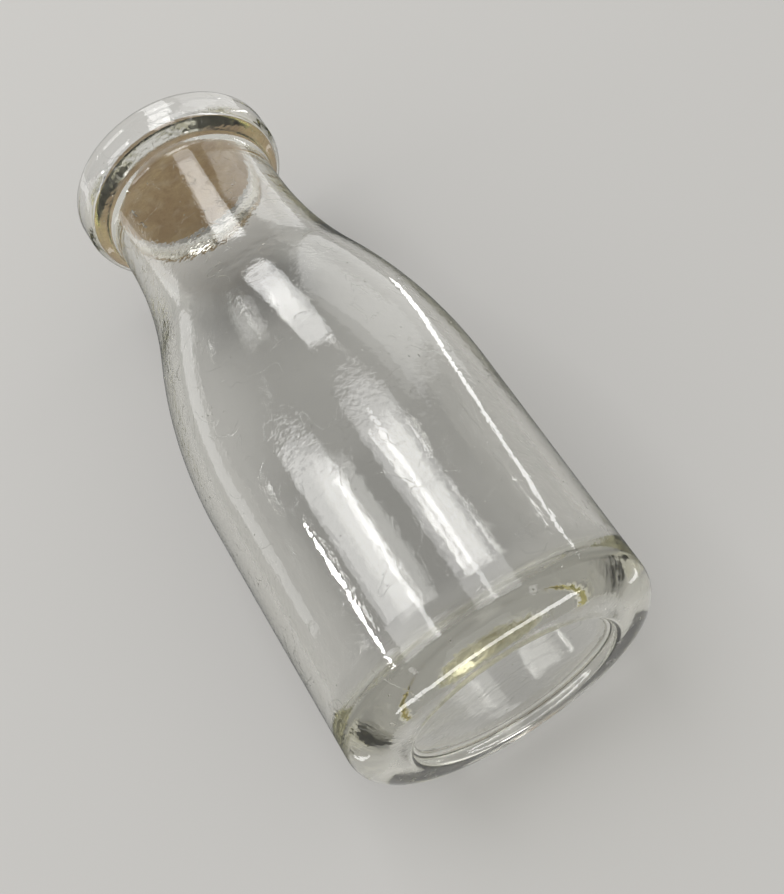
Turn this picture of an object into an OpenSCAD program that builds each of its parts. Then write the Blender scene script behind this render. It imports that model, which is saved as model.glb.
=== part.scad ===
// Half-pint round milk bottle in clear glass, with its waxed-board disc cap.
// Origin: centre of the base, on the plane that the bottle stands on. +Z points out of the mouth.

/* [Body] */
// Overall height, from the standing plane to the top of the lip
bottle_h = 143; // [119:0.5:172]
// Outside diameter of the straight body
body_d = 62.5; // [52:0.5:75]
// Height at which the straight body ends and the shoulder begins
body_straight_h = 58; // [48:0.5:70]
// Glass thickness of the body
body_wall = 3.1; // [2:0.1:4.5]
// Outside radius of the heel, between the base and the body
heel_r = 6; // [3:0.5:9]

/* [Base] */
// Height of the inside floor at its edge
floor_h = 6; // [4.5:0.1:9]
// Rise of the inside floor from its edge to its centre
floor_rise = 1.2; // [0.4:0.1:2.5]
// Inside radius between the floor and the body
inner_heel_r = 8; // [5:0.5:12]
// Width of the flat ring that the bottle stands on
bearing_w = 3; // [1.5:0.1:4.5]
// Width of the rounded step from the standing ring up to the recess
step_w = 2.8; // [2:0.1:4]
// Height of that step
step_h = 1.5; // [0.8:0.1:2.2]
// Further rise of the recess from its edge to its centre
recess_rise = 0.9; // [0.4:0.1:1.8]

/* [Neck] */
// Glass thickness of the neck
neck_wall = 3.1; // [2:0.1:4]
// Length of the straight neck between the shoulder and the lip ring
neck_straight = 5; // [2:0.5:10]
// Share of the shoulder's curve that bulges outwards
shoulder_share = 0.55; // [0.35:0.05:0.7]

/* [Lip ring] */
// Height of the lip ring, with the curve under it
ring_h = 12.6; // [10:0.1:16]
// Height of the curve under the ring, from the neck to the ring's full width
ring_under_h = 7.4; // [5:0.1:8]
// Share of that curve that turns into the neck
ring_under_share = 0.35; // [0.25:0.05:0.6]
// Glass thickness of the ring around the cap seat
lip_wall = 2.65; // [2:0.05:4]
// Radius of the lip's outside edge
lip_outer_r = 1.7; // [0.6:0.1:2]
// Radius of the lip's inside edge
lip_inner_r = 0.7; // [0.2:0.1:0.9]
// Depth of the cap seat below the lip
seat_depth = 6.35; // [5.5:0.05:8]
// Width of the ledge that the cap rests on
ledge_w = 4.65; // [3.8:0.05:5.6]
// Radius of the edge between the cap ledge and the throat
throat_edge_r = 1; // [0.4:0.1:1.4]

/* [Cap] */
// Diameter of the disc cap
cap_d = 41.3; // [34.4:0.1:50]
// Thickness of the disc cap
cap_t = 1.1; // [0.8:0.1:1.6]
// Chamfer around the disc's edges
cap_edge = 0.15; // [0.05:0.05:0.3]
// Radial clearance between the disc and its seat
cap_clearance = 0.1; // [0.02:0.01:0.1]

/* [Pull tab] */
// Width of the tab
tab_w = 12.5; // [10:0.5:15]
// Thickness of the tab
tab_t = 0.5; // [0.3:0.05:0.8]
// Length of the tab's stapled foot
foot_l = 6; // [5:0.5:8]
// Length of the tab that lifts, from the crease to its round end
flap_l = 20; // [15:0.5:22]
// Gap between the foot and the lifting part at the crease
crease_gap = 0.15; // [0.1:0.05:0.4]
// Gap between the lifting part and the disc
flap_gap = 0.1; // [0.05:0.05:0.3]
// Distance from the throat's wall to the foot's back edge
foot_inset = 1.6; // [1:0.1:2.5]
// Radius of the foot's back corners
foot_corner_r = 1.2; // [0.5:0.1:2]

/* [Staple] */
// Diameter of the staple's wire
wire_d = 0.6; // [0.4:0.05:0.8]
// Width of the staple between the middles of its legs
staple_w = 7; // [6:0.5:9]
// Length of each leg that is turned in under the disc
clinch_l = 2; // [1:0.1:2.2]
// Distance from the foot's back edge to the staple
staple_back = 2.6; // [2:0.1:3]
// Clearance around the wire in its holes
wire_clearance = 0.05; // [0.02:0.01:0.1]

/* [Hidden] */
$fn = 96;

// Steps in a quarter turn, and in each half of a long S-shaped curve
quarter_steps = 12;
curve_steps = 14;
wire_fn = 24;
overcut = 1;

body_r = body_d / 2;
inner_r = body_r - body_wall;
cap_r = cap_d / 2;
seat_r = cap_r + cap_clearance;
ring_r = seat_r + lip_wall;
throat_r = seat_r - ledge_w;
neck_r = throat_r + neck_wall;

ledge_z = bottle_h - seat_depth;
ring_low_z = bottle_h - ring_h;
neck_low_z = ring_low_z - neck_straight;
bearing_r = body_r - heel_r - bearing_w;
recess_r = bearing_r - step_w;

cap_top_z = ledge_z + cap_t;
foot_back_x = foot_inset - throat_r;
foot_front_x = foot_back_x + foot_l;
hinge_x = foot_front_x + crease_gap + tab_t / 2;
hinge_z = cap_top_z + flap_gap + tab_t / 2;
staple_x = foot_back_x + staple_back;
bend_r = wire_d / 2 + wire_clearance;
crown_z = cap_top_z + tab_t + wire_d / 2;
clinch_z = ledge_z - wire_d / 2;

// Points along an arc of the given centre and radius, from one angle to another
function arc(centre, radius, from, to, steps) =
    [for (i = [0 : steps]) let (a = from + (to - from) * i / steps) centre + radius * [cos(a), sin(a)]];

// Two arcs that meet without a corner, from [r0, z0] to [r1, z1], upright at both ends.
// share is the first arc's part of the curve.
function s_curve(r0, z0, r1, z1, share) =
    let (
        turn = 2 * atan2(abs(r1 - r0), abs(z1 - z0)),
        both = abs(z1 - z0) / sin(turn),
        first = both * share,
        last = both - first,
        side = sign(r1 - r0),
        up = sign(z1 - z0)
    )
    concat(
        [for (i = [0 : curve_steps]) let (a = turn * i / curve_steps)
            [r0 + side * first * (1 - cos(a)), z0 + up * first * sin(a)]],
        [for (i = [curve_steps - 1 : -1 : 0]) let (a = turn * i / curve_steps)
            [r1 - side * last * (1 - cos(a)), z1 - up * last * sin(a)]]
    );

// The same curve lying flat at both ends
function flat_s_curve(r0, z0, r1, z1, share) = [for (p = s_curve(z0, r0, z1, r1, share)) [p[1], p[0]]];

// A shallow dome from the axis out to radius r at height z; its middle is rise higher
function dome(r, z, rise) =
    let (sphere_r = (r * r + rise * rise) / (2 * rise))
    arc([0, z + rise - sphere_r], sphere_r, 90, 90 - asin(r / sphere_r), quarter_steps);

function reversed(points) = [for (i = [len(points) - 1 : -1 : 0]) points[i]];

function outside_outline() = concat(
    dome(recess_r, step_h, recess_rise),
    flat_s_curve(recess_r, step_h, bearing_r, 0, 0.5),
    arc([body_r - heel_r, heel_r], heel_r, -90, 0, quarter_steps),
    s_curve(body_r, body_straight_h, neck_r, neck_low_z, shoulder_share),
    s_curve(neck_r, ring_low_z, ring_r, ring_low_z + ring_under_h, ring_under_share),
    arc([ring_r - lip_outer_r, bottle_h - lip_outer_r], lip_outer_r, 0, 90, quarter_steps)
);

function inside_outline() = concat(
    arc([seat_r + lip_inner_r, bottle_h - lip_inner_r], lip_inner_r, 90, 180, quarter_steps),
    [[seat_r, ledge_z]],
    arc([throat_r + throat_edge_r, ledge_z - throat_edge_r], throat_edge_r, 90, 180, quarter_steps),
    s_curve(throat_r, neck_low_z, inner_r, body_straight_h, 1 - shoulder_share),
    arc([inner_r - inner_heel_r, floor_h + inner_heel_r], inner_heel_r, 0, -90, quarter_steps),
    reversed(dome(inner_r - inner_heel_r, floor_h, floor_rise))
);

// One blown piece: straight body, long shoulder, neck and heavy lip ring with the cap seat inside it
module glass_bottle() {
    color([0.85, 0.86, 0.78, 0.4])
    rotate_extrude()
    polygon(concat(outside_outline(), inside_outline()));
}

// Wire holes at the staple's two legs
module leg_holes(low_z, high_z) {
    for (side = [-1, 1])
        translate([staple_x, side * staple_w / 2, low_z - overcut])
        cylinder(h = high_z - low_z + 2 * overcut, d = wire_d + 2 * wire_clearance, $fn = wire_fn);
}

// Flat disc of waxed board that lies on the ledge inside the lip
module cap_disc() {
    color([0.74, 0.64, 0.46])
    difference() {
        translate([0, 0, ledge_z])
        rotate_extrude()
        polygon([
            [0, 0], [cap_r - cap_edge, 0], [cap_r, cap_edge],
            [cap_r, cap_t - cap_edge], [cap_r - cap_edge, cap_t], [0, cap_t]
        ]);
        leg_holes(ledge_z, cap_top_z);
    }
}

// The part of the tab that the staple holds flat on the disc
module tab_foot() {
    color([0.80, 0.71, 0.53])
    difference() {
        translate([foot_back_x, -tab_w / 2, cap_top_z])
        union() {
            translate([foot_corner_r, 0, 0])
            cube([foot_l - foot_corner_r, tab_w, tab_t]);
            translate([0, foot_corner_r, 0])
            cube([foot_l, tab_w - 2 * foot_corner_r, tab_t]);
            for (y = [foot_corner_r, tab_w - foot_corner_r])
                translate([foot_corner_r, y, 0])
                cylinder(h = tab_t, r = foot_corner_r);
        }
        leg_holes(cap_top_z, cap_top_z + tab_t);
    }
}

// The part of the tab that lifts; its rounded inner edge turns about the crease
module pull_tab() {
    color([0.80, 0.71, 0.53])
    translate([hinge_x, 0, hinge_z - tab_t / 2])
    union() {
        translate([0, tab_w / 2, tab_t / 2])
        rotate([90, 0, 0])
        cylinder(h = tab_w, d = tab_t, $fn = wire_fn);
        translate([0, -tab_w / 2, 0])
        cube([flap_l - tab_w / 2, tab_w, tab_t]);
        translate([flap_l - tab_w / 2, 0, 0])
        cylinder(h = tab_t, d = tab_w);
    }
}

// Quarter bend of wire in the YZ plane, from the -Z side of its centre to the +Y side
module wire_bend() {
    rotate([0, 90, 0])
    rotate_extrude(angle = 90)
    translate([bend_r, 0])
    circle(d = wire_d, $fn = wire_fn);
}

// One half of the staple: half the crown, a leg down through the board, and its turned-in end
module staple_half() {
    leg_y = staple_w / 2;
    translate([0, 0, crown_z])
    rotate([-90, 0, 0])
    cylinder(h = leg_y - bend_r, d = wire_d, $fn = wire_fn);
    translate([0, leg_y - bend_r, crown_z - bend_r])
    rotate([90, 0, 0])
    wire_bend();
    translate([0, leg_y, clinch_z + bend_r])
    cylinder(h = crown_z - clinch_z - 2 * bend_r, d = wire_d, $fn = wire_fn);
    translate([0, leg_y - bend_r, clinch_z + bend_r])
    wire_bend();
    translate([0, leg_y - bend_r, clinch_z])
    rotate([90, 0, 0])
    cylinder(h = clinch_l - bend_r, d = wire_d, $fn = wire_fn);
}

// Round steel wire, bent over the tab's foot and clinched under the disc
module cap_staple() {
    color([0.62, 0.62, 0.60])
    translate([staple_x, 0, 0])
    union() {
        staple_half();
        mirror([0, 1, 0])
        staple_half();
    }
}

glass_bottle();
cap_disc();
tab_foot();
pull_tab();
cap_staple();
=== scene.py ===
import math
import random

import bpy
import numpy as np
from mathutils import Matrix, Quaternion, Vector, noise


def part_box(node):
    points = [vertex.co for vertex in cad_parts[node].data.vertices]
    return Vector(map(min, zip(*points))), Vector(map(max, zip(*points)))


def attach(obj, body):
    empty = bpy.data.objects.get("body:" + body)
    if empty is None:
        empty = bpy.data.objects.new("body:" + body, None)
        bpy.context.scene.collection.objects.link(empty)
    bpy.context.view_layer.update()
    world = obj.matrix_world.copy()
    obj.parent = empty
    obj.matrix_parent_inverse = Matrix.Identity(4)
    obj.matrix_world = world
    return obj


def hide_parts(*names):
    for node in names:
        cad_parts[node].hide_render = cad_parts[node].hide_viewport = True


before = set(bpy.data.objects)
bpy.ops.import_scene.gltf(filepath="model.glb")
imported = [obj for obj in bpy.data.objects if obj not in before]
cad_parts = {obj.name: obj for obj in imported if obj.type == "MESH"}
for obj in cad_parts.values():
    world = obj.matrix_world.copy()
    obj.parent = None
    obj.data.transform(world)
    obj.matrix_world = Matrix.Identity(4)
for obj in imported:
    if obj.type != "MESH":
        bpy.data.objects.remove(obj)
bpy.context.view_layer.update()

MM = 0.001

# ---------------------------------------------------------------- the frame's sizes, in metres
_, BOTTLE_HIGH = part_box("glass_bottle")
DISC_LOW, DISC_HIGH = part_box("cap_disc")
FOOT_LOW, FOOT_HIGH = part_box("tab_foot")
TAB_LOW, TAB_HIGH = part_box("pull_tab")
STAPLE_LOW, STAPLE_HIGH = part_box("cap_staple")

HEIGHT = BOTTLE_HIGH.z
BODY_R = BOTTLE_HIGH.x
CAP_R = DISC_HIGH.x
# the glass ledge lies a hair under the disc, so that light never starts inside the glass
LEDGE_Z = DISC_LOW.z - 0.03 * MM

# ---------------------------------------------------------------- the glass section, as the CAD has it
BODY_TOP_Z = 58 * MM
BODY_WALL = 3.1 * MM
HEEL_R = 6 * MM
FLOOR_Z = 6 * MM
FLOOR_RISE = 1.2 * MM
INNER_HEEL_R = 8 * MM
BEARING_W = 3 * MM
STEP_W = 2.8 * MM
STEP_H = 1.5 * MM
RECESS_RISE = 0.9 * MM
NECK_WALL = 3.1 * MM
NECK_STRAIGHT = 5 * MM
SHOULDER_SHARE = 0.55
RING_H = 12.6 * MM
RING_UNDER_H = 7.4 * MM
RING_UNDER_SHARE = 0.35
LIP_WALL = 2.65 * MM
LIP_OUTER_R = 1.7 * MM
LIP_INNER_R = 0.7 * MM
LEDGE_W = 4.65 * MM
THROAT_EDGE_R = 1 * MM
SEAT_CORNER_R = 0.1 * MM

SEAT_R = CAP_R + 0.1 * MM
RING_R = SEAT_R + LIP_WALL
THROAT_R = SEAT_R - LEDGE_W
NECK_R = THROAT_R + NECK_WALL
INNER_R = BODY_R - BODY_WALL
RING_LOW_Z = HEIGHT - RING_H
NECK_LOW_Z = RING_LOW_Z - NECK_STRAIGHT
BEARING_R = BODY_R - HEEL_R - BEARING_W
RECESS_R = BEARING_R - STEP_W


# ---------------------------------------------------------------- outlines
def arc(centre_r, centre_z, radius, start, end, steps):
    """Points (r, z) along an arc; angles in degrees."""
    points = []
    for i in range(steps + 1):
        a = math.radians(start + (end - start) * i / steps)
        points.append((centre_r + radius * math.cos(a), centre_z + radius * math.sin(a)))
    return points


def s_curve(r0, z0, r1, z1, share, steps):
    """Two arcs that meet without a corner, upright at both ends; share is the first arc's part."""
    turn = 2 * math.atan2(abs(r1 - r0), abs(z1 - z0))
    both = abs(z1 - z0) / math.sin(turn)
    first = both * share
    last = both - first
    side = math.copysign(1, r1 - r0)
    up = math.copysign(1, z1 - z0)
    points = []
    for i in range(steps + 1):
        a = turn * i / steps
        points.append((r0 + side * first * (1 - math.cos(a)), z0 + up * first * math.sin(a)))
    for i in range(steps - 1, -1, -1):
        a = turn * i / steps
        points.append((r1 - side * last * (1 - math.cos(a)), z1 - up * last * math.sin(a)))
    return points


def dome(r, z, rise, steps):
    """From the axis out to radius r at height z, with its middle higher by rise."""
    ball = (r * r + rise * rise) / (2 * rise)
    edge = math.degrees(math.asin(r / ball))
    return arc(0, z + rise - ball, ball, 90, 90 - edge, steps)


def line(r0, z0, r1, z1, steps):
    """Points between two ends, without the ends."""
    return [(r0 + (r1 - r0) * i / steps, z0 + (z1 - z0) * i / steps) for i in range(1, steps)]


def outside_outline():
    """The outside of the section, from the middle of the base to the top of the lip."""
    base = dome(RECESS_R, STEP_H, RECESS_RISE, 20)[:-1]
    step = [(r, z) for z, r in s_curve(STEP_H, RECESS_R, 0, BEARING_R, 0.5, 8)]
    bearing = line(BEARING_R, 0, BODY_R - HEEL_R, 0, 6)
    heel = arc(BODY_R - HEEL_R, HEEL_R, HEEL_R, -90, 0, 24)
    body = line(BODY_R, HEEL_R, BODY_R, BODY_TOP_Z, 50)
    shoulder = s_curve(BODY_R, BODY_TOP_Z, NECK_R, NECK_LOW_Z, SHOULDER_SHARE, 34)
    neck = line(NECK_R, NECK_LOW_Z, NECK_R, RING_LOW_Z, 5)
    under = s_curve(NECK_R, RING_LOW_Z, RING_R, RING_LOW_Z + RING_UNDER_H, RING_UNDER_SHARE, 12)
    band = line(RING_R, RING_LOW_Z + RING_UNDER_H, RING_R, HEIGHT - LIP_OUTER_R, 5)
    lip = arc(RING_R - LIP_OUTER_R, HEIGHT - LIP_OUTER_R, LIP_OUTER_R, 0, 90, 12)
    return base + step + bearing + heel + body + shoulder + neck + under + band + lip


def inside_outline():
    """The inside of the section, from the top of the lip down to the middle of the floor."""
    lip = arc(SEAT_R + LIP_INNER_R, HEIGHT - LIP_INNER_R, LIP_INNER_R, 90, 180, 8)
    seat = line(SEAT_R, HEIGHT - LIP_INNER_R, SEAT_R, LEDGE_Z + SEAT_CORNER_R, 8)
    corner = arc(SEAT_R - SEAT_CORNER_R, LEDGE_Z + SEAT_CORNER_R, SEAT_CORNER_R, 0, -90, 3)
    ledge = line(SEAT_R - SEAT_CORNER_R, LEDGE_Z, THROAT_R + THROAT_EDGE_R, LEDGE_Z, 5)
    edge = arc(THROAT_R + THROAT_EDGE_R, LEDGE_Z - THROAT_EDGE_R, THROAT_EDGE_R, 90, 180, 8)
    throat = line(THROAT_R, LEDGE_Z - THROAT_EDGE_R, THROAT_R, NECK_LOW_Z, 10)
    shoulder = s_curve(THROAT_R, NECK_LOW_Z, INNER_R, BODY_TOP_Z, 1 - SHOULDER_SHARE, 34)
    body = line(INNER_R, BODY_TOP_Z, INNER_R, FLOOR_Z + INNER_HEEL_R, 42)
    heel = arc(INNER_R - INNER_HEEL_R, FLOOR_Z + INNER_HEEL_R, INNER_HEEL_R, 0, -90, 24)
    floor = dome(INNER_R - INNER_HEEL_R, FLOOR_Z, FLOOR_RISE, 20)[-2::-1]
    return lip + seat + corner + ledge + edge + throat + shoulder + body + heel + floor


# ---------------------------------------------------------------- mesh helpers
def new_object(name, verts, faces, smooth=True):
    """Links a new mesh object made of the given points and faces."""
    mesh = bpy.data.meshes.new(name)
    mesh.from_pydata(verts, [], faces)
    mesh.validate()
    mesh.polygons.foreach_set("use_smooth", [smooth] * len(mesh.polygons))
    obj = bpy.data.objects.new(name, mesh)
    bpy.context.scene.collection.objects.link(obj)
    return obj


def outline_normals(points):
    """Unit normals of the outline, pointing out of the body."""
    p = np.array(points)
    along = np.gradient(p, axis=0)
    normal = np.stack([along[:, 1], -along[:, 0]], axis=1)
    return normal / np.linalg.norm(normal, axis=1)[:, None]


def lathe(outline, segments, push):
    """Closed turned shape; the outline starts and ends on the axis, and push moves points along normals."""
    normals = outline_normals(outline)
    verts = [(0.0, 0.0, outline[0][1])]
    for i, (r, z) in enumerate(outline[1:-1], start=1):
        nr, nz = normals[i]
        for s in range(segments):
            a = 2 * math.pi * s / segments
            out = push(i, r * math.cos(a), r * math.sin(a), z)
            rr = r + nr * out
            verts.append((rr * math.cos(a), rr * math.sin(a), z + nz * out))
    verts.append((0.0, 0.0, outline[-1][1]))
    faces = []
    rows = len(outline) - 2
    last = 1 + (rows - 1) * segments
    for s in range(segments):
        t = (s + 1) % segments
        faces.append((0, 1 + t, 1 + s))
        for low in range(1, last, segments):
            high = low + segments
            faces.append((low + s, low + t, high + t, high + s))
        faces.append((last + s, last + t, len(verts) - 1))
    return verts, faces


def wave(x, y, z, size, seed):
    """Smooth noise from -1 to 1 whose lumps are about size across."""
    return noise.noise(Vector((x / size + seed, y / size - seed, z / size + 2 * seed)))


# ---------------------------------------------------------------- the glass
SEGMENTS = 224
OUTER_WAVE = 0.09 * MM
OUTER_PEEL = 0.011 * MM
INNER_WAVE = 0.33 * MM
INNER_RIPPLE = 0.05 * MM
FOOT_FADE = 4 * MM
LIP_FADE = 2 * MM
THROAT_CLEAR = 2 * MM
THROAT_FADE = 20 * MM

SEEDS = 26
SEED_RINGS = 8
SEED_AROUND = 12
SEED_RADII = (0.05, 0.16)
SEED_DEPTHS = (0.7, 1.9)
SEED_STRETCH = (1.2, 3.5)


def outer_wave(x, y, z):
    """How far the outside lies under its true surface: mould chill marks and long shallow waves."""
    long = 0.5 + 0.5 * wave(x, y, 0.35 * z, 22 * MM, 3.1)
    peel = 0.5 + 0.5 * wave(x, y, z, 5 * MM, 7.7)
    return OUTER_WAVE * long + OUTER_PEEL * peel


def inner_wave(x, y, z):
    """The inside was never touched by a mould, so it is wavier."""
    long = wave(x, y, 0.3 * z, 17 * MM, 11.3)
    mid = wave(x, y, 0.6 * z, 8 * MM, 5.9)
    return INNER_WAVE * long + INNER_RIPPLE * mid


def bubble(centre, radius, length, verts, faces):
    """A seed in the glass: a closed long bubble whose faces look inwards, because the glass is outside it."""
    rings, around = SEED_RINGS, SEED_AROUND
    first = len(verts)
    radial = Vector((centre.x, centre.y, 0)).normalized()
    side = Vector((-radial.y, radial.x, 0))
    verts.append(tuple(centre - Vector((0, 0, length))))
    for i in range(1, rings):
        a = math.pi * i / rings
        for j in range(around):
            b = 2 * math.pi * j / around
            flat = radial * math.cos(b) + side * math.sin(b)
            verts.append(tuple(centre + flat * radius * math.sin(a) - Vector((0, 0, length * math.cos(a)))))
    verts.append(tuple(centre + Vector((0, 0, length))))
    top = len(verts) - 1
    for j in range(around):
        k = (j + 1) % around
        faces.append((first, first + 1 + j, first + 1 + k))
        for i in range(rings - 2):
            low, high = first + 1 + i * around, first + 1 + (i + 1) * around
            faces.append((low + k, low + j, high + j, high + k))
        faces.append((top, top - around + k, top - around + j))


def glass_bottle():
    """The turned bottle with its waves, and small seeds inside its wall."""
    outside = outside_outline()

    def push(i, x, y, z):
        if i < len(outside):
            fade = min(1, z / FOOT_FADE) * min(1, (HEIGHT - z) / LIP_FADE)
            return -outer_wave(x, y, z) * fade
        fade = min(1, max(0, (LEDGE_Z - THROAT_CLEAR - z) / THROAT_FADE))
        return inner_wave(x, y, z) * fade

    verts, faces = lathe(outside + inside_outline(), SEGMENTS, push)
    side = [(z, r) for r, z in outside if HEEL_R <= z <= RING_LOW_Z and r > NECK_R - MM]
    heights, radii = zip(*sorted(side))
    draw = random.Random(11)
    for _ in range(SEEDS):
        z = draw.uniform(HEEL_R + 2 * MM, NECK_LOW_Z)
        a = draw.uniform(0, 2 * math.pi)
        radius = draw.uniform(*SEED_RADII) * MM
        r = np.interp(z, heights, radii) - draw.uniform(*SEED_DEPTHS) * MM
        length = radius * draw.uniform(*SEED_STRETCH)
        bubble(Vector((r * math.cos(a), r * math.sin(a), z)), radius, length, verts, faces)
    return new_object("bottle_glass", verts, faces)


# ---------------------------------------------------------------- the cap
DISC_EDGE = 0.3 * MM
DISC_SAG = 0.22 * MM
DISC_SEGMENTS = 240
DISC_STEPS = 60
DISC_RELIEF = 0.05 * MM

WIRE_R = (STAPLE_HIGH.x - STAPLE_LOW.x) / 2
STAPLE_X = (STAPLE_HIGH.x + STAPLE_LOW.x) / 2
LEG_Y = STAPLE_HIGH.y - WIRE_R
CROWN_Z = STAPLE_HIGH.z - WIRE_R
CLINCH_Z = STAPLE_LOW.z + WIRE_R
CLINCH_L = 2 * MM
BEND_R = WIRE_R + 0.05 * MM
CLINCH_BITE = 0.02 * MM
CROWN_SAG = 0.06 * MM
WIRE_AROUND = 20

TAB_T = TAB_HIGH.z - TAB_LOW.z
TAB_HALF_W = TAB_HIGH.y
HINGE_X = TAB_LOW.x + TAB_T / 2
TAB_BOW = 0.55 * MM
FOOT_CORNER_R = 1.2 * MM
BOARD_EDGE = 0.11 * MM
CARD_STEPS = 40
CARD_SPANS = 22
CARD_RELIEF = 0.04 * MM
FOOT_DENT = 0.13 * MM


def board_relief(x, y, z, depth):
    """Soft lumps of pulp, always inwards."""
    small = 0.5 + 0.5 * wave(x, y, z, 1.1 * MM, 4.4)
    long = 0.5 + 0.5 * wave(x, y, z, 6 * MM, 9.2)
    return -depth * (0.6 * small + 0.4 * long)


def cap_disc():
    """Die-cut disc: soft cut edge, and a middle that has sunk a little into the throat."""
    rim = CAP_R - DISC_EDGE

    def sag(r):
        return DISC_SAG * max(0, 1 - (r / THROAT_R) ** 2)

    def level(z, radii):
        return [(r, z - sag(r)) for r in radii]

    across = [rim * i / DISC_STEPS for i in range(DISC_STEPS)]
    low_edge = arc(rim, DISC_LOW.z + DISC_EDGE, DISC_EDGE, -90, 0, 5)
    high_edge = arc(rim, DISC_HIGH.z - DISC_EDGE, DISC_EDGE, 0, 90, 5)
    outline = level(DISC_LOW.z, across) + low_edge + high_edge + level(DISC_HIGH.z, across[::-1])
    verts, faces = lathe(outline, DISC_SEGMENTS, lambda i, x, y, z: board_relief(x, y, z, DISC_RELIEF))
    return new_object("cap_board", verts, faces)


def card_section(half_w, half_t, edge, spans):
    """Closed loop (y, z) of a card's cross-section with softened edges, anticlockwise seen from +X."""
    loop = []
    for sy, sz, start in ((1, 1, 0), (-1, 1, 90), (-1, -1, 180), (1, -1, 270)):
        cy, cz = sy * (half_w - edge), sz * (half_t - edge)
        for i in range(4):
            a = math.radians(start + 30 * i)
            loop.append((cy + edge * math.cos(a), cz + edge * math.sin(a)))
        if start in (0, 180):
            for i in range(1, spans):
                y = cy - 2 * sy * (half_w - edge) * i / spans
                loop.append((y, cz + sz * edge))
    return loop


def card(name, stations, mid_z, bend):
    """Strip of board lofted through stations (x, half width, half thickness); bend lifts its points."""
    verts, loops = [], []
    for x, half_w, half_t in stations:
        edge = min(BOARD_EDGE, half_w * 0.9, half_t * 0.9)
        loop = []
        for y, z in card_section(half_w, half_t, edge, CARD_SPANS):
            soft = 1 + board_relief(x, y, z, CARD_RELIEF) / (0.25 * MM)
            loop.append(len(verts))
            verts.append((x, y, mid_z + z * soft + bend(x, y)))
        loops.append(loop)
    count = len(loops[0])
    faces = [tuple(reversed(loops[0])), tuple(loops[-1])]
    for a, b in zip(loops, loops[1:]):
        faces += [(a[i], a[(i + 1) % count], b[(i + 1) % count], b[i]) for i in range(count)]
    return new_object(name, verts, faces)


def rounded(length, steps, power=2.0):
    """Stations from 0 to length that crowd together at the far end."""
    return [length * (1 - (1 - i / steps) ** power) for i in range(steps + 1)]


def pull_tab():
    """The strip that lifts: round nose in the crease, round end, curled up a little towards the end."""
    half_t = TAB_T / 2
    straight_end = TAB_HIGH.x - TAB_HALF_W
    stations = []
    for d in rounded(half_t, 6)[:0:-1]:
        stations.append((HINGE_X - d, TAB_HALF_W, max(0.02 * MM, math.sqrt(max(0, half_t ** 2 - d ** 2)))))
    for i in range(CARD_STEPS):
        stations.append((HINGE_X + (straight_end - HINGE_X) * i / CARD_STEPS, TAB_HALF_W, half_t))
    for d in rounded(TAB_HALF_W * 0.9999, 30):
        stations.append((straight_end + d, math.sqrt(TAB_HALF_W ** 2 - d ** 2), half_t))
    reach = TAB_HIGH.x - HINGE_X

    def bend(x, y):
        along = max(0, (x - HINGE_X) / reach)
        return TAB_BOW * along ** 2 + 0.1 * MM * along * wave(x, y, 0, 9 * MM, 1.7) + 0.05 * MM * along

    return card("cap_tab", stations, (TAB_HIGH.z + TAB_LOW.z) / 2, bend)


def tab_foot():
    """The stapled end of the tab, pressed in under the staple's crown."""
    half_t = (FOOT_HIGH.z - FOOT_LOW.z) / 2
    half_w = FOOT_HIGH.y
    stations = []
    for d in rounded(FOOT_CORNER_R * 0.98, 10)[::-1]:
        width = half_w - FOOT_CORNER_R + math.sqrt(FOOT_CORNER_R ** 2 - d ** 2)
        stations.append((FOOT_LOW.x + FOOT_CORNER_R - d, width, half_t))
    run = FOOT_HIGH.x - FOOT_LOW.x - FOOT_CORNER_R
    for i in range(1, CARD_STEPS + 1):
        stations.append((FOOT_LOW.x + FOOT_CORNER_R + run * i / CARD_STEPS, half_w, half_t))

    def bend(x, y):
        inside = 1 / (1 + math.exp((abs(y) - LEG_Y) / (0.25 * MM)))
        return -FOOT_DENT * inside * math.exp(-((x - STAPLE_X) / (0.55 * MM)) ** 2)

    return card("cap_tab_foot", stations, (FOOT_HIGH.z + FOOT_LOW.z) / 2, bend)


def staple_path():
    """Points (y, z) along the wire's middle, from one clinched end to the other."""
    clinch_bend = arc(LEG_Y - BEND_R, CLINCH_Z + BEND_R, BEND_R, -90, 0, 8)
    crown_bend = arc(LEG_Y - BEND_R, CROWN_Z - BEND_R, BEND_R, 0, 90, 8)
    half = [(LEG_Y - CLINCH_L, CLINCH_Z - CLINCH_BITE)] + clinch_bend + crown_bend
    half += [(y, CROWN_Z - CROWN_SAG * (1 - y / LEG_Y)) for y in (2.2 * MM, 1.1 * MM)]
    middle = [(0, CROWN_Z - CROWN_SAG)]
    return half + middle + [(-y, z) for y, z in reversed(half)]


def staple():
    """Round wire swept along its path, with cut ends a little narrower than the wire."""
    path = staple_path()
    around = WIRE_AROUND
    verts, faces = [], []
    for i, (y, z) in enumerate(path):
        y0, z0 = path[max(0, i - 1)]
        y1, z1 = path[min(len(path) - 1, i + 1)]
        along = Vector((0, y1 - y0, z1 - z0)).normalized()
        across = along.cross(Vector((1, 0, 0)))
        radius = WIRE_R * (0.8 if i in (0, len(path) - 1) else 1)
        for j in range(around):
            a = 2 * math.pi * j / around
            outwards = Vector((1, 0, 0)) * math.cos(a) + across * math.sin(a)
            point = Vector((STAPLE_X, y, z)) + outwards * radius
            verts.append(tuple(point))
    for i in range(len(path) - 1):
        for j in range(around):
            a, b = i * around + j, i * around + (j + 1) % around
            faces.append((a, b, b + around, a + around))
    faces.append(tuple(range(around))[::-1])
    faces.append(tuple(range((len(path) - 1) * around, len(path) * around)))
    return new_object("cap_wire", verts, faces)


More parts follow.
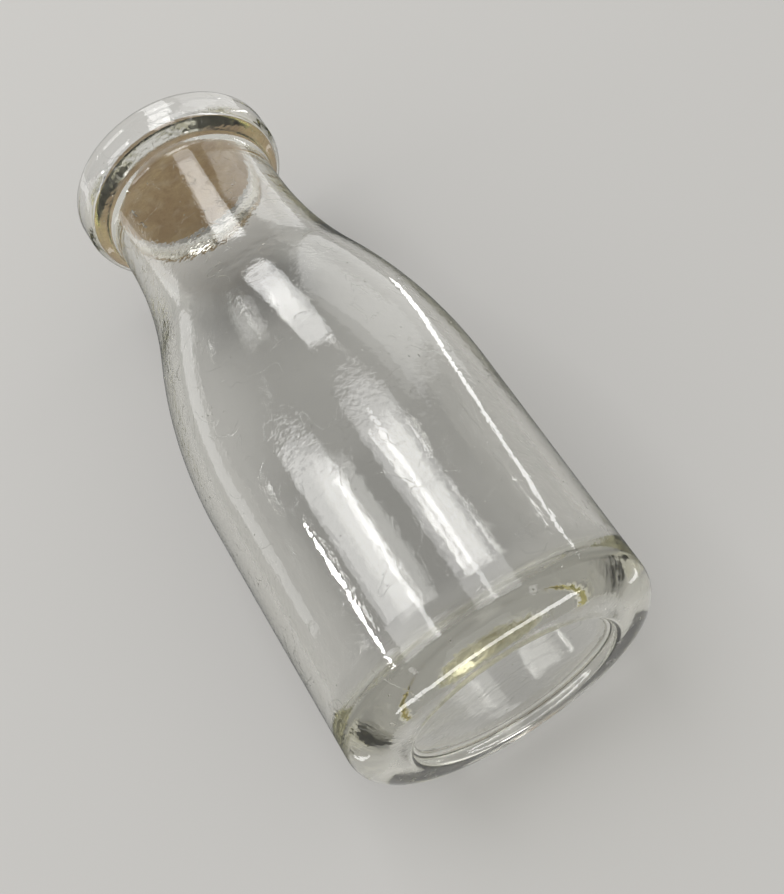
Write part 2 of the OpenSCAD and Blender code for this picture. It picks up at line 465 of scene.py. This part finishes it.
# ---------------------------------------------------------------- node helpers
def material(name):
    """A new material with an empty node tree."""
    mat = bpy.data.materials.new(name)
    mat.use_nodes = True
    tree = mat.node_tree
    tree.nodes.clear()
    return mat, tree


def principled(name, **constants):
    """A Principled material with constant values for the sockets that stay the same all over."""
    mat, tree = material(name)
    out = tree.nodes.new("ShaderNodeOutputMaterial")
    shader = tree.nodes.new("ShaderNodeBsdfPrincipled")
    for key, value in constants.items():
        shader.inputs[key.replace("_", " ")].default_value = value
    tree.links.new(shader.outputs["BSDF"], out.inputs["Surface"])
    where = tree.nodes.new("ShaderNodeTexCoord").outputs["Object"]
    return mat, tree, shader, out, where


def feed(tree, socket, value):
    """Sets a socket from another socket or from a plain value."""
    if isinstance(value, bpy.types.NodeSocket):
        tree.links.new(value, socket)
    else:
        socket.default_value = value


def maths(tree, operation, a, b=0.0):
    """One Math node's result."""
    node = tree.nodes.new("ShaderNodeMath")
    node.operation = operation
    feed(tree, node.inputs[0], a)
    feed(tree, node.inputs[1], b)
    return node.outputs[0]


def total(tree, *terms):
    """Sum of (mask, amount) terms."""
    result = 0.0
    for mask, amount in terms:
        result = maths(tree, "ADD", maths(tree, "MULTIPLY", mask, amount), result)
    return result


def between(tree, value, low, high):
    """0 at low, 1 at high, smooth in between; low may be above high."""
    node = tree.nodes.new("ShaderNodeMapRange")
    node.interpolation_type = "SMOOTHSTEP"
    feed(tree, node.inputs["Value"], value)
    node.inputs["From Min"].default_value = min(low, high)
    node.inputs["From Max"].default_value = max(low, high)
    node.inputs["To Min"].default_value = 0 if low < high else 1
    node.inputs["To Max"].default_value = 1 if low < high else 0
    return node.outputs["Result"]


def stretched(tree, where, x=1.0, y=1.0, z=1.0, turn=0.0):
    """The coordinates scaled by an amount along each axis, after a turn about Z in degrees."""
    node = tree.nodes.new("ShaderNodeMapping")
    feed(tree, node.inputs["Vector"], where)
    node.inputs["Rotation"].default_value = (0, 0, math.radians(turn))
    node.inputs["Scale"].default_value = (x, y, z)
    return node.outputs["Vector"]


def lumps(tree, where, size, detail=3.0, roughness=0.55, distortion=0.0):
    """Noise whose lumps are about size across, in metres."""
    node = tree.nodes.new("ShaderNodeTexNoise")
    feed(tree, node.inputs["Vector"], where)
    node.inputs["Scale"].default_value = 1 / size
    node.inputs["Detail"].default_value = detail
    node.inputs["Roughness"].default_value = roughness
    node.inputs["Distortion"].default_value = distortion
    return node.outputs["Fac"]


def dots(tree, where, spacing, radius, share):
    """Round specks in a share of the cells of a grid of loose points; 1 in the middle of a speck."""
    node = tree.nodes.new("ShaderNodeTexVoronoi")
    feed(tree, node.inputs["Vector"], where)
    node.inputs["Scale"].default_value = 1 / spacing
    pick = tree.nodes.new("ShaderNodeSeparateColor")
    tree.links.new(node.outputs["Color"], pick.inputs["Color"])
    speck = between(tree, node.outputs["Distance"], radius / spacing, 0.6 * radius / spacing)
    chosen = between(tree, pick.outputs["Red"], share, share - 0.02)
    return maths(tree, "MULTIPLY", speck, chosen)


def thread_lines(tree, where, size, width, cut):
    """Thin winding lines, broken up into short pieces."""
    field = lumps(tree, where, size, detail=2, distortion=0.4)
    distance = maths(tree, "ABSOLUTE", maths(tree, "SUBTRACT", field, 0.5))
    line_mask = between(tree, distance, width, 0.25 * width)
    pieces = between(tree, lumps(tree, where, size * 0.45, detail=1), cut, cut + 0.05)
    return maths(tree, "MULTIPLY", line_mask, pieces)


def blend_colour(tree, amount, first, second):
    """The first colour where amount is 0, and the second where it is 1."""
    node = tree.nodes.new("ShaderNodeMix")
    node.data_type = "RGBA"
    feed(tree, node.inputs[0], amount)
    feed(tree, node.inputs[6], first)
    feed(tree, node.inputs[7], second)
    return node.outputs[2]


def relief(tree, height, depth, under=None):
    """A bump of the given depth in metres, on top of another one."""
    node = tree.nodes.new("ShaderNodeBump")
    feed(tree, node.inputs["Height"], height)
    node.inputs["Distance"].default_value = depth
    if under is not None:
        tree.links.new(under, node.inputs["Normal"])
    return node.outputs["Normal"]


def axis(tree, where, index):
    """One coordinate: 0 for X, 1 for Y, 2 for Z."""
    node = tree.nodes.new("ShaderNodeSeparateXYZ")
    tree.links.new(where, node.inputs[0])
    return node.outputs[index]


# ---------------------------------------------------------------- materials
def glass_material():
    """Old soda-lime glass: faint straw tint in depth, orange peel, haze, scuffs, scratches and dust."""
    mat, tree, shader, out, where = principled("clear_glass", IOR=1.52, Transmission_Weight=1.0)
    height = axis(tree, where, 2)
    fine = lumps(tree, where, 0.5 * MM, detail=4, roughness=0.7)
    haze = between(tree, lumps(tree, where, 26 * MM, detail=5, distortion=0.3), 0.50, 0.72)
    smear = maths(tree, "MULTIPLY", haze, between(tree, fine, 0.35, 0.65))
    foot_band = between(tree, height, 0.22 * MM, 0.03 * MM)
    foot_patch = between(tree, lumps(tree, where, 5 * MM, detail=3), 0.42, 0.62)
    foot_area = maths(tree, "MULTIPLY", foot_band, foot_patch)
    foot_wear = maths(tree, "MULTIPLY", foot_area, between(tree, fine, 0.45, 0.6))
    belly_low = between(tree, height, 46 * MM, 56 * MM)
    belly_high = between(tree, height, 68 * MM, 58 * MM)
    belly = maths(tree, "MULTIPLY", belly_low, belly_high)
    belly_wear = maths(tree, "MULTIPLY", belly, dots(tree, where, 0.9 * MM, 0.16 * MM, 0.35))
    belly_patch = maths(tree, "MULTIPLY", belly_wear, between(tree, lumps(tree, where, 9 * MM), 0.5, 0.62))
    small_dust = dots(tree, where, 2.6 * MM, 0.19 * MM, 0.6)
    large_dust = dots(tree, where, 6 * MM, 0.32 * MM, 0.5)
    dust = maths(tree, "MAXIMUM", small_dust, large_dust)
    scratches = thread_lines(tree, where, 13 * MM, 0.006, 0.52)
    rough = total(tree, (smear, 0.05), (foot_wear, 0.3), (belly_patch, 0.35), (dust, 0.6), (scratches, 0.25))
    tree.links.new(rough, shader.inputs["Roughness"])
    dirt = total(tree, (dust, 0.85), (foot_wear, 0.10), (belly_patch, 0.25), (scratches, 0.25), (smear, 0.03))
    clean, dirty = (1, 1, 1, 1), (0.30, 0.29, 0.27, 1)
    tree.links.new(blend_colour(tree, dirt, clean, dirty), shader.inputs["Base Color"])
    peel = relief(tree, lumps(tree, where, 3.2 * MM, detail=2), 0.035 * MM)
    peel = relief(tree, lumps(tree, where, 1.0 * MM, detail=1), 0.013 * MM, peel)
    marks = total(tree, (fine, 0.15), (dust, 1.0), (scratches, -0.6), (foot_wear, -0.8))
    tree.links.new(relief(tree, marks, 0.012 * MM, peel), shader.inputs["Normal"])
    tint = tree.nodes.new("ShaderNodeVolumeAbsorption")
    tint.inputs["Color"].default_value = (0.93, 0.90, 0.52, 1)
    tint.inputs["Density"].default_value = 13
    tree.links.new(tint.outputs["Volume"], out.inputs["Volume"])
    return mat


def board_material(name, light, dark, wax):
    """Pulp board: long fibres in every direction, dark flecks and a greasy wax bloom."""
    mat, tree, shader, out, where = principled(name, IOR=1.45)
    fibres = 0.0
    for turn in (8, 67, 128):
        layer = lumps(tree, stretched(tree, where, 0.12, 1, 1, turn), 0.16 * MM, detail=3, roughness=0.65)
        fibres = maths(tree, "ADD", maths(tree, "MULTIPLY", layer, 1 / 3), fibres)
    cloud = lumps(tree, where, 7 * MM, detail=5, roughness=0.6)
    tone = total(tree, (between(tree, fibres, 0.40, 0.60), 0.55), (between(tree, cloud, 0.35, 0.65), 0.45))
    colour = blend_colour(tree, tone, dark, light)
    specks = dots(tree, stretched(tree, where, 0.4, 1, 1, 35), 1.1 * MM, 0.16 * MM, 0.4)
    flecks = maths(tree, "MULTIPLY", specks, between(tree, fibres, 0.45, 0.55))
    colour = blend_colour(tree, maths(tree, "MULTIPLY", flecks, 0.55), colour, (0.13, 0.08, 0.04, 1))
    bloom = between(tree, lumps(tree, where, 4 * MM, detail=4, distortion=0.5), 0.5, 0.7)
    colour = blend_colour(tree, maths(tree, "MULTIPLY", bloom, 0.12), colour, (0.75, 0.70, 0.60, 1))
    tree.links.new(colour, shader.inputs["Base Color"])
    rough = total(tree, (bloom, -0.18 * wax), (fibres, 0.25))
    tree.links.new(maths(tree, "ADD", rough, 0.62 - 0.15 * wax), shader.inputs["Roughness"])
    coarse = relief(tree, cloud, 0.08 * MM)
    tree.links.new(relief(tree, fibres, 0.05 * MM, coarse), shader.inputs["Normal"])
    shader.inputs["Coat Weight"].default_value = 0.25 * wax
    shader.inputs["Coat Roughness"].default_value = 0.35
    return mat


def wire_material():
    """Drawn steel wire: fine lines along it, gone dull, with a few freckles of rust."""
    mat, tree, shader, out, where = principled("staple_wire", Metallic=1.0, IOR=2.5)
    drawn = lumps(tree, stretched(tree, where, 1, 0.05, 0.3), 0.06 * MM, detail=3)
    dull = lumps(tree, where, 0.9 * MM, detail=4)
    rust = between(tree, lumps(tree, where, 0.45 * MM, detail=5, roughness=0.7), 0.60, 0.70)
    grey = between(tree, dull, 0.35, 0.65)
    steel = blend_colour(tree, grey, (0.36, 0.35, 0.33, 1), (0.62, 0.61, 0.58, 1))
    rusty = blend_colour(tree, maths(tree, "MULTIPLY", rust, 0.75), steel, (0.20, 0.09, 0.04, 1))
    tree.links.new(rusty, shader.inputs["Base Color"])
    rough = total(tree, (drawn, 0.15), (dull, 0.2), (rust, 0.35))
    tree.links.new(maths(tree, "ADD", rough, 0.18), shader.inputs["Roughness"])
    lines = relief(tree, drawn, 0.01 * MM)
    tree.links.new(relief(tree, rust, 0.02 * MM, lines), shader.inputs["Normal"])
    return mat


def place(piece, skin, body, node):
    """Gives a piece its material, hangs it on the CAD body that it stands for, and hides the CAD node that it
    replaces.
    """
    piece.data.materials.append(skin)
    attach(piece, body)
    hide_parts(node)
    return piece


disc_skin = board_material("waxed_board", (0.50, 0.37, 0.20, 1), (0.27, 0.17, 0.08, 1), 1.0)
tab_skin = board_material("tab_board", (0.58, 0.45, 0.27, 1), (0.36, 0.25, 0.13, 1), 0.4)
bottle = place(glass_bottle(), glass_material(), "bottle", "glass_bottle")
bottle.visible_shadow = False
pieces = [
    bottle,
    place(cap_disc(), disc_skin, "cap", "cap_disc"),
    place(tab_foot(), tab_skin, "cap", "tab_foot"),
    place(pull_tab(), tab_skin, "tab", "pull_tab"),
    place(staple(), wire_material(), "cap", "cap_staple"),
]


# ---------------------------------------------------------------- stage, lights and camera
FLOOR_COLOUR = (0.62, 0.61, 0.59)
FLOOR_GAP = 0.05 * MM
FLOOR_HALF = 2.0
SHADOW_SEGMENTS = 96
SHADOW_SCALE = 0.995


def one_sided(name, colour):
    """A matt surface that is only there from its front, so that it never hides the bottle."""
    mat, tree = material(name)
    out = tree.nodes.new("ShaderNodeOutputMaterial")
    mix = tree.nodes.new("ShaderNodeMixShader")
    back = tree.nodes.new("ShaderNodeNewGeometry")
    matt = tree.nodes.new("ShaderNodeBsdfDiffuse")
    matt.inputs["Color"].default_value = (*colour, 1)
    clear = tree.nodes.new("ShaderNodeBsdfTransparent")
    tree.links.new(back.outputs["Backfacing"], mix.inputs[0])
    tree.links.new(matt.outputs[0], mix.inputs[1])
    tree.links.new(clear.outputs[0], mix.inputs[2])
    tree.links.new(mix.outputs[0], out.inputs["Surface"])
    return mat


def stage_plane(name, centre, across, up, half):
    """A square one-sided plane about its centre."""
    c, a, u = Vector(centre), Vector(across), Vector(up)
    corners = [c + (a * i + u * j) * half for i, j in ((-1, -1), (1, -1), (1, 1), (-1, 1))]
    obj = new_object(name, corners, [(0, 1, 2, 3)], smooth=False)
    obj.data.materials.append(one_sided(name, FLOOR_COLOUR))
    return obj


def shadow_material():
    """Clear where it faces the light, and darker at its edges."""
    mat, tree = material("glass_shadow")
    out = tree.nodes.new("ShaderNodeOutputMaterial")
    clear = tree.nodes.new("ShaderNodeBsdfTransparent")
    weight = tree.nodes.new("ShaderNodeLayerWeight")
    weight.inputs["Blend"].default_value = 0.5
    ramp = tree.nodes.new("ShaderNodeValToRGB")
    ramp.color_ramp.elements[0].position = 0.35
    ramp.color_ramp.elements[0].color = (0.93, 0.93, 0.92, 1)
    ramp.color_ramp.elements[1].position = 0.95
    ramp.color_ramp.elements[1].color = (0.45, 0.45, 0.43, 1)
    tree.links.new(weight.outputs["Facing"], ramp.inputs[0])
    tree.links.new(ramp.outputs[0], clear.inputs[0])
    tree.links.new(clear.outputs[0], out.inputs["Surface"])
    return mat


def glass_shadow():
    """The soft shadow of the glass: a shell that only lamps see, whose edges stop the most light."""
    around = SHADOW_SEGMENTS
    outline = [(r * SHADOW_SCALE, z) for r, z in outside_outline()[1:]]
    turns = [2 * math.pi * i / around for i in range(around)]
    verts = [(r * math.cos(a), r * math.sin(a), z) for r, z in outline for a in turns]
    faces = []
    for low in range(0, (len(outline) - 1) * around, around):
        high = low + around
        faces += [(low + s, low + (s + 1) % around, high + (s + 1) % around, high + s) for s in range(around)]
    obj = new_object("glass_shadow", verts, faces)
    obj.data.materials.append(shadow_material())
    for what in ("camera", "diffuse", "glossy", "transmission", "volume_scatter"):
        setattr(obj, "visible_" + what, False)


# the bottle lies against lying_floor in the main view and stands on standing_floor in the others
lying_floor = stage_plane("lying_floor", (0, BODY_R + FLOOR_GAP, 0.07), (1, 0, 0), (0, 0, 1), FLOOR_HALF)
standing_floor = stage_plane("standing_floor", (0, 0, -FLOOR_GAP), (1, 0, 0), (0, 1, 0), FLOOR_HALF)
for plane in (lying_floor, standing_floor):
    plane.visible_shadow = False
    plane.visible_glossy = False
    plane.visible_diffuse = False
glass_shadow()


def from_bottle(azimuth, elevation):
    """Direction away from the bottle; azimuth 0 is -Y, positive towards +X."""
    a, e = math.radians(azimuth), math.radians(elevation)
    return Vector((math.sin(a) * math.cos(e), -math.cos(a) * math.cos(e), math.sin(e)))


AIM = Vector((0, 0, 0.05))


def panel(name, azimuth, elevation, distance, width, height, radiance, roll=0):
    """A soft light of the given radiance that faces the bottle; roll turns it in its own plane."""
    data = bpy.data.lights.new(name, "AREA")
    data.shape = "RECTANGLE"
    data.size = width
    data.size_y = height
    data.energy = radiance * math.pi * width * height
    obj = bpy.data.objects.new(name, data)
    direction = from_bottle(azimuth, elevation)
    obj.location = AIM + direction * distance
    obj.rotation_mode = "QUATERNION"
    obj.rotation_quaternion = direction.to_track_quat("Z", "Y") @ Quaternion((0, 0, 1), math.radians(roll))
    bpy.context.scene.collection.objects.link(obj)
    return obj


def light_only(lamp, receivers):
    """Keeps a lamp's light, and its reflection, to the given objects."""
    collection = bpy.data.collections.new("lit_by_" + lamp.name)
    for obj in receivers:
        collection.objects.link(obj)
    lamp.light_linking.receiver_collection = collection
    lamp.visible_camera = False


LOW_BOXES = ((-45, 0.07), (45, 0.07), (135, 0.06), (-135, 0.06))

# name, azimuth, elevation, distance, width, height and radiance
panels = [
    panel("left_window", -32, 22, 1.0, 0.47, 0.27, 3.6),
    panel("left_core", -20, 20.5, 0.98, 0.05, 0.20, 5),
    panel("right_window", 25, 22, 1.0, 0.55, 0.29, 2.6),
    panel("right_core", 22, 21.5, 0.98, 0.05, 0.23, 5),
    panel("shoulder_window", 24, 55, 1.0, 0.30, 0.55, 3.6),
    panel("bare_lamp", -56, 21, 0.95, 0.035, 0.14, 60),
    panel("ceiling", 85, 46, 1.3, 1.1, 0.75, 1.1),
    panel("left_wall", -97, 42, 1.2, 0.22, 0.9, 1.3),
    panel("slanted_strip", 104, 31, 1.2, 0.05, 0.83, 7, roll=-51),
    panel("low_fill", 0, -48, 1.2, 0.9, 0.7, 0.65),
    panel("heel_light", 180, -86, 1.0, 1.9, 0.2, 9),
]
for azimuth, width in LOW_BOXES:
    panels.append(panel(f"low_box_{azimuth}", azimuth, -11, 1.2, width, 0.5, 2.6))
for lamp in panels:
    light_only(lamp, pieces)
light_only(panel("lying_lamp", -8, 20, 1.6, 1.2, 1.2, 4.0), [lying_floor])
light_only(panel("standing_lamp", 0, 88, 2.5, 3.0, 3.0, 2.6), [standing_floor])

# pale all round at eye level and below, and darker above, so that the glass mirrors something dark
PALE = (0.55, 0.545, 0.53, 1)
DARK = (0.085, 0.09, 0.095, 1)
DARK_STARTS = math.sin(math.radians(10))
DARK_FULL = math.sin(math.radians(17))


def studio_world():
    """The room round the stage, blended from pale to dark by height."""
    world = bpy.data.worlds.new("studio")
    bpy.context.scene.world = world
    world.use_nodes = True
    tree = world.node_tree
    direction = tree.nodes.new("ShaderNodeTexCoord").outputs["Generated"]
    above = between(tree, axis(tree, direction, 2), DARK_STARTS, DARK_FULL)
    tree.links.new(blend_colour(tree, above, PALE, DARK), tree.nodes["Background"].inputs["Color"])


studio_world()
bpy.context.scene.view_settings.view_transform = "Standard"


def add_camera():
    """The camera looks up at the base from in front, and is rolled so that the bottle lies slanted."""
    data = bpy.data.cameras.new("camera")
    data.lens = 53.6
    data.sensor_width = 36
    data.clip_start = 0.01
    cam = bpy.data.objects.new("camera", data)
    at = Vector((0, -0.22936, -0.06551))
    aim = Vector((0.0063, 0, 0.0547))
    up_hint = Vector((0.5514, -0.3992, 0.7325))
    forward = (aim - at).normalized()
    right = forward.cross(up_hint).normalized()
    up = right.cross(forward)
    cam.matrix_world = Matrix.Translation(at) @ Matrix((right, up, -forward)).transposed().to_4x4()
    bpy.context.scene.collection.objects.link(cam)
    bpy.context.scene.camera = cam


add_camera()

# light runs round inside thick glass many times before it comes out
bounces = bpy.context.scene.cycles
bounces.max_bounces = 24
bounces.glossy_bounces = 20
bounces.transmission_bounces = 24
bounces.caustics_reflective = False
bounces.caustics_refractive = False
